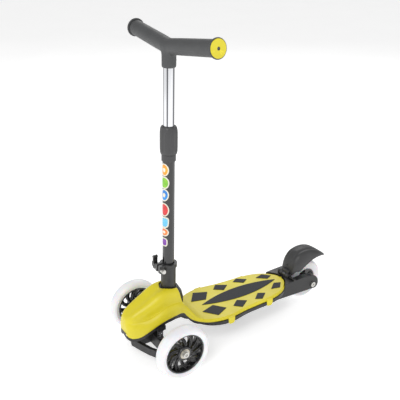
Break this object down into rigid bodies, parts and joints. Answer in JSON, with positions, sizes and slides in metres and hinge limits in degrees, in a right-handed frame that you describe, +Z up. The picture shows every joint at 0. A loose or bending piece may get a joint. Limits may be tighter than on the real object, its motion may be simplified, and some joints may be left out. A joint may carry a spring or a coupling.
{
  "type": "kick scooter",
  "caption": "Child's lean-to-steer kick scooter with a yellow footboard, white wheels, a rear fender brake and a height-adjustable T-bar.",
  "frame": {"origin": "bottom centre of the bounding box, on the ground between the wheels", "axes": "+Z up, -Y forward, +X to the rider's left"},
  "size_m": [0.304, 0.5491, 0.6906],
  "materials": {
    "shell_yellow": "satin yellow moulding, slightly textured",
    "moulding_black": "fine-textured black moulding",
    "grip_charcoal": "soft charcoal grip",
    "fender_grey": "satin dark grey moulding",
    "tube_black": "black powder coat",
    "tube_chrome": "bright chrome",
    "zinc_steel": "bright zinc plate",
    "spring_steel": "oiled spring steel",
    "tyre_white": "milky white urethane",
    "rim_black": "gloss black moulding",
    "bush_white": "natural acetal",
    "clamp_black": "black anodised clamp"
  },
  "bodies": {
    "deck": {"deck_base": "moulding_black", "top_shell": "shell_yellow", "grip_pad": "grip_charcoal", "grip_diamonds": "grip_charcoal", "deck_screws": "zinc_steel", "fork_screws": "zinc_steel", "rear_fork": "moulding_black", "rear_axle_bolt": "zinc_steel", "rear_axle_nut": "zinc_steel", "rear_axle_spacers": "zinc_steel", "brake_hinge_pin": "zinc_steel", "brake_spring": "spring_steel", "kingpin_bolt": "zinc_steel", "kingpin_nut": "zinc_steel", "kingpin_bushes": "bush_white", "return_spring_left": "spring_steel", "return_spring_right": "spring_steel", "head_housing": "moulding_black", "stem_socket": "tube_black", "clamp_collar": "clamp_black", "clamp_skewer": "zinc_steel", "clamp_nut": "zinc_steel", "lever_pin": "zinc_steel"},
    "rear_wheel": {"rear_tyre": "tyre_white", "rear_rim": "rim_black", "rear_bearings": "zinc_steel", "rear_bearing_tube": "zinc_steel"},
    "brake": {"brake_fender": "fender_grey"},
    "truck": {"truck_beam": "moulding_black", "front_axle_bolt_left": "zinc_steel", "front_axle_bolt_right": "zinc_steel", "front_axle_washers_left": "zinc_steel", "front_axle_washers_right": "zinc_steel", "front_axle_nut_left": "zinc_steel", "front_axle_nut_right": "zinc_steel"},
    "front_wheel_left": {"front_tyre_left": "tyre_white", "front_rim_left": "rim_black", "front_bearings_left": "zinc_steel", "front_bearing_tube_left": "zinc_steel"},
    "front_wheel_right": {"front_tyre_right": "tyre_white", "front_rim_right": "rim_black", "front_bearings_right": "zinc_steel", "front_bearing_tube_right": "zinc_steel"},
    "lever": {"clamp_lever": "clamp_black"},
    "column": {"lower_tube": "tube_black", "step_ring": "moulding_black", "tube_bush": "bush_white"},
    "sleeve": {"lock_sleeve": "moulding_black"},
    "bar": {"upper_tube": "tube_chrome", "handlebar_body": "grip_charcoal", "tee_screw": "zinc_steel", "bar_core_left": "zinc_steel", "bar_core_right": "zinc_steel", "grip_flange_left": "grip_charcoal", "grip_flange_right": "grip_charcoal", "end_cap_left": "shell_yellow", "end_cap_right": "shell_yellow", "cap_screw_left": "zinc_steel", "cap_screw_right": "zinc_steel"}
  },
  "joints": [
    {"name": "truck_lean", "type": "hinge", "parent": "deck", "child": "truck", "pos_m": [0, -0.21025, 0.058], "axis": [0, 0.866, -0.5], "range_deg": [-12, 12], "stiffness_Nm_per_rad": 40, "deforming": ["return_spring_left", "return_spring_right"]},
    {"name": "front_wheel_left_spin", "type": "hinge", "parent": "truck", "child": "front_wheel_left", "pos_m": [0.1075, -0.19425, 0.06], "axis": [1, 0, 0], "continuous": true},
    {"name": "front_wheel_right_spin", "type": "hinge", "parent": "truck", "child": "front_wheel_right", "pos_m": [-0.1075, -0.19425, 0.06], "axis": [1, 0, 0], "continuous": true},
    {"name": "rear_wheel_spin", "type": "hinge", "parent": "deck", "child": "rear_wheel", "pos_m": [0, 0.22175, 0.05], "axis": [1, 0, 0], "continuous": true},
    {"name": "brake_press", "type": "hinge", "parent": "deck", "child": "brake", "pos_m": [0, 0.16175, 0.08], "axis": [-1, 0, 0], "range_deg": [0, 2.6], "stiffness_Nm_per_rad": 1.2, "springref_deg": -8.59},
    {"name": "lever_swing", "type": "hinge", "parent": "deck", "child": "lever", "pos_m": [-0.0165, -0.18397, 0.19948], "axis": [0, -0.9997, 0.026], "range_deg": [0, 110]},
    {"name": "column_slide", "type": "slide", "parent": "deck", "child": "column", "axis": [0, 0.026, 0.9997], "range_m": [0, 0.07]},
    {"name": "sleeve_turn", "type": "hinge", "parent": "column", "child": "sleeve", "pos_m": [0, -0.1558, 0.47484], "axis": [0, 0.026, 0.9997], "range_deg": [0, 90]},
    {"name": "height_adjust", "type": "slide", "parent": "column", "child": "bar", "axis": [0, 0.026, 0.9997], "range_m": [-0.11, 0.03]}
  ]
}
